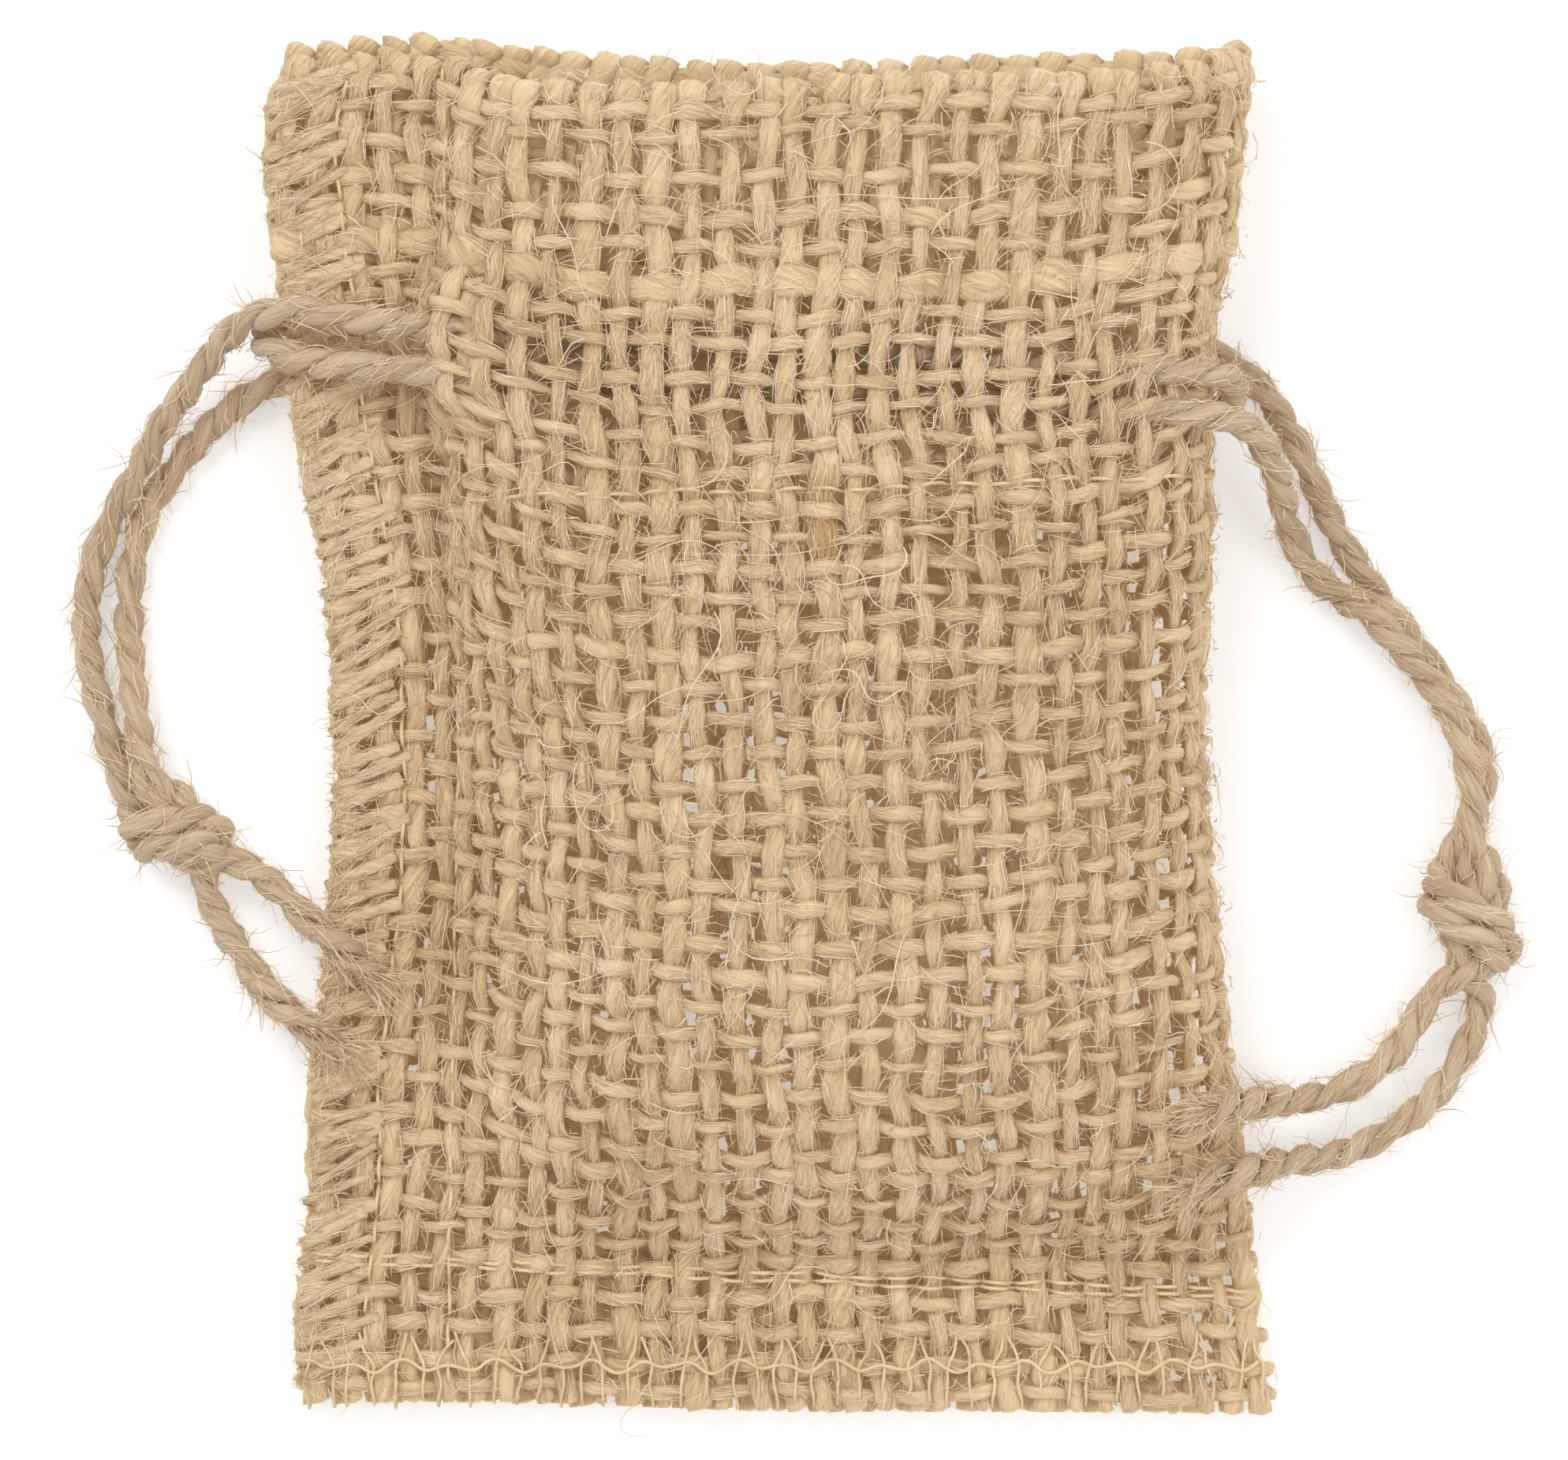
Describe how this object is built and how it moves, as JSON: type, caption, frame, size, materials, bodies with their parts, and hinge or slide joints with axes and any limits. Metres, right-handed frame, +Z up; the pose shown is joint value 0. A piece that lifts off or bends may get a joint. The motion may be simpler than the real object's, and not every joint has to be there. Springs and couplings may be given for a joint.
{
  "type": "drawstring gift pouch",
  "caption": "Small plain-weave jute gift pouch lying flat, with a turned-in hem casing and knotted twine drawcords pulled from both sides.",
  "frame": {"origin": "middle of the pouch's footprint, on the surface it lies on", "axes": "+Y from the bottom seam to the mouth, +X to the right as seen from the front, +Z up through the front panel"},
  "size_m": [0.1124, 0.105, 0.0171],
  "materials": {
    "jute_cloth": "open plain weave of undyed jute, matt, hairy, uneven yarns",
    "sewing_thread": "pale spun sewing thread, matt",
    "jute_twine": "two-ply twisted jute twine, matt, hairy"
  },
  "bodies": {
    "pouch": {"pouch_cloth": "jute_cloth", "hem_facing": "jute_cloth", "left_seam_allowance": "jute_cloth", "bottom_seam_allowance": "jute_cloth", "left_seam_thread": "sewing_thread", "left_overlock_thread": "sewing_thread", "bottom_seam_thread": "sewing_thread", "bottom_overlock_thread": "sewing_thread", "front_hem_thread": "sewing_thread", "back_hem_thread": "sewing_thread", "left_cord_bight": "jute_twine", "right_cord_bight": "jute_twine"},
    "left_drawcord": {"left_cord_front_leg": "jute_twine", "left_cord_back_leg": "jute_twine", "left_knot": "jute_twine", "left_cord_tail_upper": "jute_twine", "left_cord_tail_lower": "jute_twine"},
    "right_drawcord": {"right_cord_front_leg": "jute_twine", "right_cord_back_leg": "jute_twine", "right_knot": "jute_twine", "right_cord_tail_inner": "jute_twine", "right_cord_tail_outer": "jute_twine"}
  },
  "joints": [
    {"name": "left_drawcord_slide", "type": "slide", "parent": "pouch", "child": "left_drawcord", "axis": [-0.9983, 0.0576, 0], "range_m": [0, 0.022]},
    {"name": "right_drawcord_slide", "type": "slide", "parent": "pouch", "child": "right_drawcord", "axis": [0.9983, -0.0576, 0], "range_m": [0, 0.022]}
  ]
}
